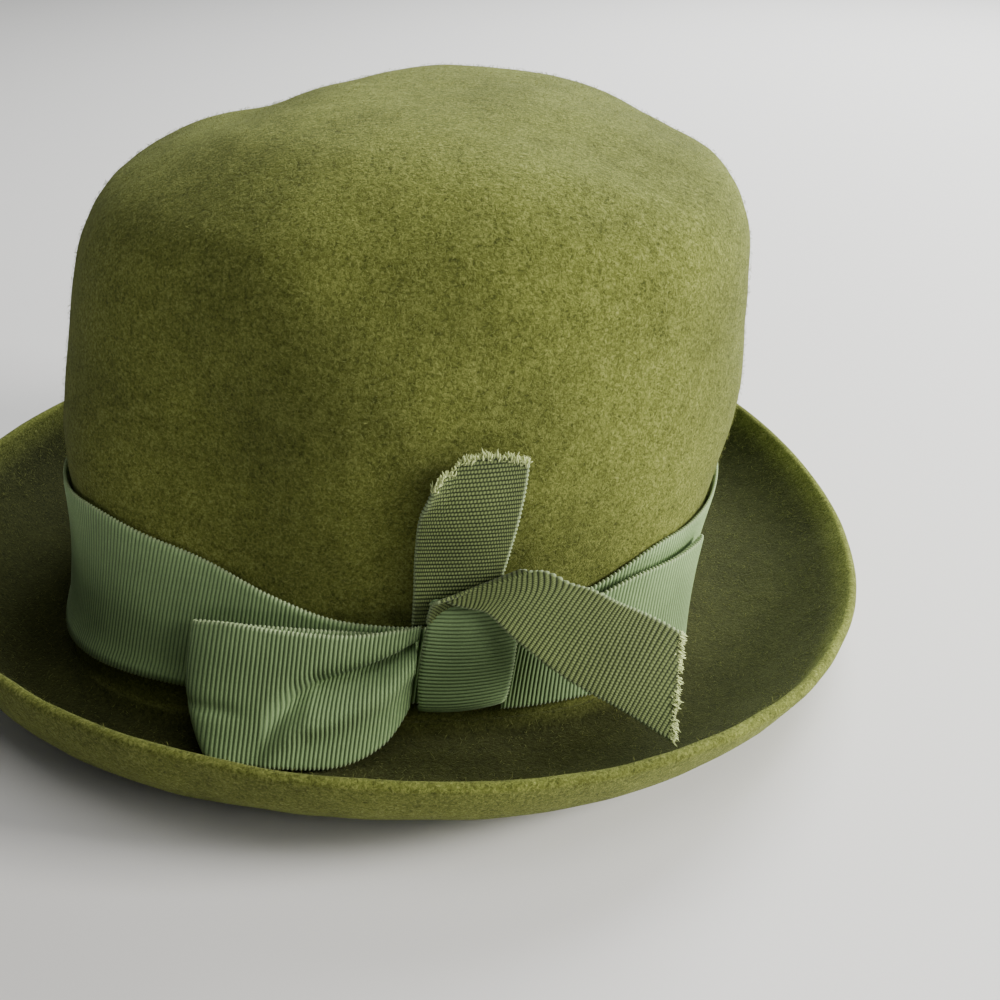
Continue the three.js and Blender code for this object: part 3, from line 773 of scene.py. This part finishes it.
def loop_places(table, azimuth, long, direction, pleat=None):
    """Places of a bow loop from the knot round its fold and back behind, and how far its lower edge falls
    back."""
    ribbon = bpy.context.scene.ribbon_sizes
    steps, value = row_values(table, LOOP_STEPS)
    share = across_shares(LOOP_COLUMNS)[None]
    back = value.get("corner", 0.0) * (1 - share) ** 3
    low = ribbon.band_foot + ribbon.band_width * value["low"]
    high = ribbon.band_foot + ribbon.band_width * value["high"]
    stand = ribbon.bow_stand * (value["low_stand"] + (value["high_stand"] - value["low_stand"]) * share)
    lean = OUTER_LEAN * (stand - ribbon.bow_stand * value["high_stand"]) * value["along"] / long
    along = value["along"] - back - lean
    if pleat:
        stand = stand - pleat(value["along"], share) * smoothstep(FRONT_ROWS - steps, 0, 0.6)
    height = low + (high - low) * share
    places = beside_crown(walked_azimuth(azimuth, direction * along * long), height, stand)
    return places, -back * long * smoothstep(FRONT_ROWS - steps, 0, 1)


def left_pleat(along, share):
    """Depth of the pleat from the knot into the left loop, with its puffed lower side and a crease."""
    line = np.interp(along, *np.transpose(PLEAT_LINE))
    depth = MM * np.interp(along, *np.transpose(PLEAT_DEPTH))
    groove = depth * bump(share - line, 0.040 + 0.09 * along)
    puff = 0.45 * depth * bump(share - line + 0.20, 0.09)
    crease = 0.7 * MM * bump(share - 0.37, 0.035) * smoothstep(along, 0.62, 0.85)
    return groove - puff + crease


class HATMAKER_OT_loops(bpy.types.Operator):
    """Fold the bow's two wide loops"""
    bl_idname = "hatmaker.loops"
    bl_label = "Fold Loops"

    def execute(self, context):
        ribbon = context.scene.ribbon_sizes
        made = (
            ("left_bow", "left_loop", LEFT_LOOP, LEFT_AZIMUTH, ribbon.left_loop, -1, left_pleat),
            ("right_bow", "right_loop", RIGHT_LOOP, RIGHT_AZIMUTH, ribbon.right_loop, 1, None),
        )
        for name, node, table, azimuth, long, direction, pleat in made:
            places, skew = loop_places(table, azimuth, long, direction, pleat)
            piece, cut = woven_ribbon(name, places, skew=skew)
            finished(piece, node, ribbon_skin(context, "band"))
        return {"FINISHED"}


def knot_places():
    ribbon = bpy.context.scene.ribbon_sizes
    steps, value = row_values(KNOT, KNOT_STEPS)
    share = across_shares(KNOT_COLUMNS)[None]
    height = ribbon.knot_foot + ribbon.knot_height * (value["height"] + value["rise"] * share)
    aside = ribbon.knot_width * (value["width"] * (share - 0.5) + value["shift"])
    stand = ribbon.knot_stand * value["stand"] - KNOT_ROUNDING * (2 * share - 1) ** 2
    return beside_crown(walked_azimuth(KNOT_AZIMUTH, aside), height, stand)


def upright_places():
    """Places of the upright tail, its foot tucked behind the knot and its cut torn at the left corner."""
    ribbon = bpy.context.scene.ribbon_sizes
    steps, value = row_values(UPRIGHT, TAIL_STEPS)
    share = across_shares(TAIL_COLUMNS)[None]
    foot = UPRIGHT_TUCK * (1 - smoothstep(steps, 0, 1))
    torn = np.interp(share, *np.transpose(UPRIGHT_CUT)) * MM * smoothstep(value["along"], 0.4, 1)
    height = ribbon.upright_foot + ribbon.upright_length * value["along"] - foot - torn
    aside = ribbon.tail_width * (value["lean"] + value["width"] * share)
    curl = UPRIGHT_CURL * bump(share, 0.10) * smoothstep(value["along"], 0.7, 1)
    stand = value["left_stand"] + (value["right_stand"] - value["left_stand"]) * share
    out = ribbon.knot_stand * stand + curl
    return beside_crown(walked_azimuth(UPRIGHT_AZIMUTH, aside), height, out), -torn


def turned_about(vector, axis, angle):
    """Vectors turned about unit axes by angles in radians."""
    cos, sin = np.cos(angle), np.sin(angle)
    along_axis = axis * (axis * vector).sum(-1, keepdims=True)
    return vector * cos + np.cross(axis, vector) * sin + along_axis * (1 - cos)


def falling_places():
    """Places of the falling tail: rolled over the knot's top, then down to the brim."""
    ribbon = bpy.context.scene.ribbon_sizes
    felt = bpy.context.scene.felt_sizes
    value = row_values(FALLING, FALLING_REFINEMENT * (len(FALLING) - 1) + 1)[1]
    value = {name: values[:, 0] for name, values in value.items()}
    start = beside_crown(
        np.array([FALLING_AZIMUTH]), np.array([ribbon.falling_top]),
        np.array([ribbon.knot_stand * FALLING_START_STAND]))[0]
    brim_room = felt.reach_front - felt.crown_width / 2
    middle = start + np.stack([
        ribbon.falling_length * value["right"], -brim_room * value["out"],
        -ribbon.falling_length * value["drop"]], -1)
    forward = np.gradient(middle, axis=0)
    forward /= np.linalg.norm(forward, axis=-1, keepdims=True)
    upwards = np.array([0, 0, 1.0]) - forward * forward[:, 2:]
    upwards /= np.linalg.norm(upwards, axis=-1, keepdims=True)
    edgeways = turned_about(upwards, forward, -np.radians(value["tilt"])[:, None])
    share = (across_shares(TAIL_COLUMNS) - 0.5)[None, :, None]
    width = (ribbon.tail_width * value["width"])[:, None, None]
    slant = (ribbon.tail_width * value["slant"])[:, None, None]
    tail = middle[:, None] + edgeways[:, None] * width * share - forward[:, None] * slant * share
    skew = (-slant * share)[..., 0]
    roll = []
    for row in FALLING_ROLL:
        low, high = (
            beside_crown(
                np.array([row[f"{edge}_azimuth"]]), np.array([row[edge] * MM]), row[f"{edge}_stand"] * MM)
            for edge in ("low", "high"))
        roll.append(low + (high - low) * (share[0] + 0.5))
    rows = np.concatenate([np.array(roll), tail])
    skew = np.concatenate([np.repeat(skew[:1], len(roll), 0), skew])
    bent = np.concatenate([rows, skew[..., None]], -1)
    fine = np.linspace(0, len(bent) - 1, FALLING_STEPS)
    columns = [spline(values, fine) for values in bent.reshape(len(bent), -1).T]
    smooth = np.stack(columns, -1).reshape(len(fine), *bent.shape[1:])
    return smooth[..., :3], smooth[..., 3]


def cut_end(places, seed):
    """Short frayed threads along a ribbon's last row."""
    count = FRAY_COUNT
    long = FRAY_LONG * MM
    rng = np.random.default_rng(seed)
    at = np.sort(rng.uniform(0, places.shape[1] - 1, count))
    low = np.minimum(at.astype(int), places.shape[1] - 2)
    share = (at - low)[:, None]
    edge = places[-1][low] * (1 - share) + places[-1][low + 1] * share
    inside = places[-FRAY_ROWS][low] * (1 - share) + places[-FRAY_ROWS][low + 1] * share
    outward = edge - inside
    outward /= np.linalg.norm(outward, axis=-1, keepdims=True)
    start = edge - outward * FRAY_START * MM + rng.normal(0, 0.25, (count, 3)) * MM
    reach = rng.uniform(0.5, 1.0, (count, 1)) * long
    sway = rng.normal(0, 0.22, (count, 3)) * long
    middle = start + outward * reach * 0.6 + sway * 0.25
    tip = start + outward * reach + sway
    paths = np.stack([start, (start + middle) / 2, middle, (middle + tip) / 2, tip], 1)
    radii = np.array([0, 1, 1.1, 1, 0]) * rng.uniform(*FRAY_RADIUS, (count, 1)) * MM
    return paths, radii


class HATMAKER_OT_knot(bpy.types.Operator):
    """Wrap the knot over the middle of the bow"""
    bl_idname = "hatmaker.knot"
    bl_label = "Wrap Knot"

    def execute(self, context):
        piece, cut = woven_ribbon("knot_ribbon", knot_places())
        finished(piece, "knot_wrap", ribbon_skin(context, "band"))
        return {"FINISHED"}


class HATMAKER_OT_tails(bpy.types.Operator):
    """Lay the two short cut tails of the knot"""
    bl_idname = "hatmaker.tails"
    bl_label = "Lay Tails"

    def execute(self, context):
        made = (
            ("upright_ribbon", "upright_tail", "upright", *upright_places()),
            ("falling_ribbon", "falling_tail", "falling", *falling_places()),
        )
        frayed = []
        for name, node, kind, places, skew in made:
            frayed.append(cut_end(places, len(name)))
            piece, cut = woven_ribbon(name, places, skew=skew)
            finished(piece, node, ribbon_skin(context, kind))
        fray = threads("frayed_ends", *(np.concatenate(part) for part in zip(*frayed)), sides=4)
        finished(fray, None, plain_skin("fray_thread", context.scene.hat_colours.fray))
        return {"FINISHED"}


class Nodes:
    """Short ways to wire a material's nodes."""

    def __init__(self, name):
        self.skin = bpy.data.materials.new(name)
        self.skin.use_nodes = True
        self.tree = self.skin.node_tree
        self.shader = self.tree.nodes["Principled BSDF"]

    def add(self, kind, **settings):
        node = self.tree.nodes.new(kind)
        for key, value in settings.items():
            setattr(node, key, value)
        return node

    def link(self, source, target):
        self.tree.links.new(source, target)

    def object_place(self):
        return self.add("ShaderNodeTexCoord").outputs["Object"]

    def noise(self, vector, scale, detail=4, roughness=0.6, distortion=0.0):
        node = self.add("ShaderNodeTexNoise")
        for key, value in (("Scale", scale), ("Detail", detail), ("Roughness", roughness),
                           ("Distortion", distortion)):
            node.inputs[key].default_value = value
        self.link(vector, node.inputs["Vector"])
        return node.outputs["Fac"]

    def ramp(self, source, stops):
        node = self.add("ShaderNodeValToRGB")
        while len(node.color_ramp.elements) < len(stops):
            node.color_ramp.elements.new(0.5)
        for element, (at, shade) in zip(node.color_ramp.elements, stops):
            element.position = at
            element.color = (*shade, 1) if hasattr(shade, "__len__") else (shade, shade, shade, 1)
        self.link(source, node.inputs["Fac"])
        return node.outputs["Color"]

    def mix(self, factor, first, second, blend="MIX"):
        node = self.add("ShaderNodeMix", data_type="RGBA", blend_type=blend)
        for socket, value in ((node.inputs[0], factor), (node.inputs[6], first), (node.inputs[7], second)):
            if hasattr(value, "is_linked"):
                self.link(value, socket)
            elif hasattr(value, "__len__"):
                socket.default_value = (*value, 1)
            else:
                socket.default_value = value
        return node.outputs[2]

    def maths(self, operation, first, second=0.0):
        node = self.add("ShaderNodeMath", operation=operation)
        for socket, value in zip(node.inputs, (first, second)):
            if hasattr(value, "is_linked"):
                self.link(value, socket)
            else:
                socket.default_value = value
        return node.outputs[0]

    def plus(self, first, second):
        return self.maths("ADD", first, second)

    def times(self, first, second):
        return self.maths("MULTIPLY", first, second)

    def wave(self, angle):
        """Between 0 and 1, and 1 wherever the angle is a whole turn."""
        return self.plus(self.times(self.maths("COSINE", angle), 0.5), 0.5)

    def own_map(self):
        """The two coordinates of the piece's own map."""
        split = self.add("ShaderNodeSeparateXYZ")
        self.link(self.add("ShaderNodeUVMap").outputs["UV"], split.inputs["Vector"])
        return split.outputs["X"], split.outputs["Y"]

    def surface(self, **values):
        """Sets the shader's even values, with low lines for the blanks in their names."""
        for name, value in values.items():
            self.shader.inputs[name.replace("_", " ")].default_value = value

    def bumps(self, height, distance, strength=1.0, under=None):
        node = self.add("ShaderNodeBump")
        node.inputs["Strength"].default_value = strength
        node.inputs["Distance"].default_value = distance
        self.link(height, node.inputs["Height"])
        if under is not None:
            self.link(under, node.inputs["Normal"])
        return node.outputs["Normal"]


def plain_skin(name, shade):
    """One even dye for threads."""
    make = Nodes(name)
    make.surface(Base_Color=(*shade, 1), Roughness=0.85, Specular_IOR_Level=0.15)
    return make.skin


def felt_skin(context):
    """Brushed wool felt: a mottled dye with painted shade in the brim's trough, a fine tangled nap and soft
    sheen.
    """
    colours = context.scene.hat_colours
    make = Nodes("brushed_felt")
    place = make.object_place()
    broad = make.noise(place, 24, 3, 0.55)
    mottle = make.noise(place, 260, 4, 0.6, 0.5)
    specks = make.noise(place, 1350, 3, 0.6, 0.8)
    fibres = make.noise(place, 620, 5, 0.8, 3.0)
    tangled = make.plus(make.times(specks, 0.6), make.times(fibres, 0.4))
    shade = make.plus(make.times(tangled, 0.84), make.times(mottle, 0.16))
    dye = make.ramp(shade, ((0.385, colours.felt_dark), (0.50, colours.felt_mid), (0.63, colours.felt_light)))
    worn = make.ramp(broad, ((0.38, 0.84), (0.62, 1.12)))
    # Painted shade: the felt's colour is darkened in the brim's trough, as far as its own map says
    painted_trough_shade = make.ramp(make.own_map()[0], ((0.0, 1.0), (1.0, TROUGH_SHADE)))
    dye_and_painted_shading = make.mix(1.0, make.mix(1.0, dye, worn, "MULTIPLY"), painted_trough_shade, "MULTIPLY")
    make.link(dye_and_painted_shading, make.shader.inputs["Base Color"])
    soft = make.bumps(mottle, 0.5 * MM, 0.5)
    make.link(make.bumps(tangled, 0.6 * MM, 0.9, soft), make.shader.inputs["Normal"])
    make.surface(Roughness=0.95, Specular_IOR_Level=0.15, Sheen_Weight=0.12, Sheen_Roughness=0.45,
                 Sheen_Tint=(0.72, 0.80, 0.35, 1))
    return make.skin


def ribbon_skin(context, kind):
    """Woven grosgrain: painted light on the ribs and painted shade in the grooves, short warp dashes and a
    pale beaded selvage.
    """
    name = f"{kind}_grosgrain"
    known = bpy.data.materials.get(name)
    if known:
        return known
    colours, weave = context.scene.hat_colours, WEAVES[kind]
    groove, rib = (colours.band_groove_shade, colours.band_rib_lit) if kind == "band" else (colours.tail_groove_shade, colours.tail_rib_lit)
    make = Nodes(name)
    ribs_along, across = make.own_map()
    wave = make.maths("POWER", make.wave(make.times(ribs_along, 2 * math.pi)), RIB_POWER)
    brick = make.times(make.maths("ROUND", ribs_along), math.pi)
    dash = make.wave(make.plus(make.times(across, 2 * math.pi * weave["warps"]), brick))
    place = make.object_place()
    fluff = make.noise(place, 2200, 3, 0.65)
    patches = make.noise(place, 42, 3, 0.55)
    woven = make.plus(make.times(wave, weave["ribs"]), make.times(make.times(dash, wave), weave["dashes"]))
    lit = make.plus(woven, make.times(make.maths("SUBTRACT", fluff, 0.5), 0.5))
    # Painted light and shade: the colour runs from the dark groove colour between the ribs to the light rib
    # colour on them
    dye = make.ramp(lit, ((0.10, groove), (1.0, rib)))
    faded = make.ramp(patches, ((0.35, 0.86), (0.65, 1.12)))
    dye_and_painted_shading = make.mix(1.0, dye, faded, "MULTIPLY")
    aside = make.maths("ABSOLUTE", make.maths("SUBTRACT", across, 0.5))
    selvage = make.ramp(aside, ((SELVAGE_FROM, 0.0), (0.5, 1.0)))
    beads = make.mix(selvage, dye_and_painted_shading, make.mix(wave, dye_and_painted_shading, (*colours.selvage,)))
    make.link(beads, make.shader.inputs["Base Color"])
    make.link(make.bumps(fluff, 0.12 * MM, 0.7), make.shader.inputs["Normal"])
    make.surface(Roughness=0.68, Specular_IOR_Level=0.25, Sheen_Weight=0.12, Sheen_Roughness=0.4)
    return make.skin


class HATMAKER_OT_stage(bpy.types.Operator):
    """Lay a plain pale floor, hang soft lights and set the camera"""
    bl_idname = "hatmaker.stage"
    bl_label = "Set Stage"

    def execute(self, context):
        bpy.ops.object.select_all(action="DESELECT")
        bpy.ops.mesh.primitive_plane_add(size=6)
        floor = context.object
        floor.name = "floor"
        make = Nodes("pale_floor")
        make.surface(Base_Color=(0.72, 0.71, 0.69, 1), Roughness=0.8)
        floor.data.materials.append(make.skin)
        for row in LIGHTS:
            bpy.ops.object.light_add(type="AREA", location=row["place"])
            light = context.object
            light.name = row["name"]
            light.data.size = row["size"]
            light.data.energy = row["power"]
            light.data.color = row["tint"]
            towards = Vector(LIT_PLACE) - Vector(row["place"])
            light.rotation_euler = towards.to_track_quat("-Z", "Y").to_euler()
        world = bpy.data.worlds.new("soft_room")
        world.use_nodes = True
        glow = world.node_tree.nodes["Background"].inputs
        glow["Color"].default_value = (0.93, 0.94, 1.0, 1)
        glow["Strength"].default_value = ROOM_LIGHT
        context.scene.world = world
        shift = hat_shift()
        pitch = math.radians(CAMERA_PITCH)
        target = Vector((CAMERA_X * MM + shift[0], shift[1], CAMERA_TARGET_Z * MM))
        ahead = Vector((0, math.cos(pitch), -math.sin(pitch)))
        bpy.ops.object.camera_add(location=target - ahead * CAMERA_DISTANCE * MM)
        camera = context.object
        camera.rotation_euler = (math.pi / 2 - pitch, 0, 0)
        camera.data.sensor_width = SENSOR
        camera.data.lens = SENSOR * CAMERA_FOCUS / PHOTO_SIDE
        camera.data.clip_start = 0.01
        context.scene.camera = camera
        return {"FINISHED"}


class HATMAKER_PT_panel(bpy.types.Panel):
    """Steps of making the hat, in order"""
    bl_idname = "HATMAKER_PT_panel"
    bl_label = "Felt Hat"
    bl_space_type = "VIEW_3D"
    bl_region_type = "UI"
    bl_category = "Felt Hat"

    def draw(self, context):
        for step in STEPS:
            self.layout.operator(step.bl_idname)


STEPS = (
    HATMAKER_OT_felt,
    HATMAKER_OT_nap,
    HATMAKER_OT_band,
    HATMAKER_OT_loops,
    HATMAKER_OT_knot,
    HATMAKER_OT_tails,
    HATMAKER_OT_stage,
)
CLASSES = (FeltSizes, RibbonSizes, HatColours, *STEPS, HATMAKER_PT_panel)


def register():
    for each in CLASSES:
        bpy.utils.register_class(each)
    bpy.types.Scene.felt_sizes = PointerProperty(type=FeltSizes)
    bpy.types.Scene.ribbon_sizes = PointerProperty(type=RibbonSizes)
    bpy.types.Scene.hat_colours = PointerProperty(type=HatColours)


def unregister():
    del bpy.types.Scene.hat_colours
    del bpy.types.Scene.ribbon_sizes
    del bpy.types.Scene.felt_sizes
    for each in reversed(CLASSES):
        bpy.utils.unregister_class(each)


def main():
    register()
    bpy.ops.hatmaker.stage()
    bpy.ops.hatmaker.felt()
    bpy.ops.hatmaker.nap()
    bpy.ops.hatmaker.band()
    bpy.ops.hatmaker.loops()
    bpy.ops.hatmaker.knot()
    bpy.ops.hatmaker.tails()


if __name__ == "__main__":
    main()
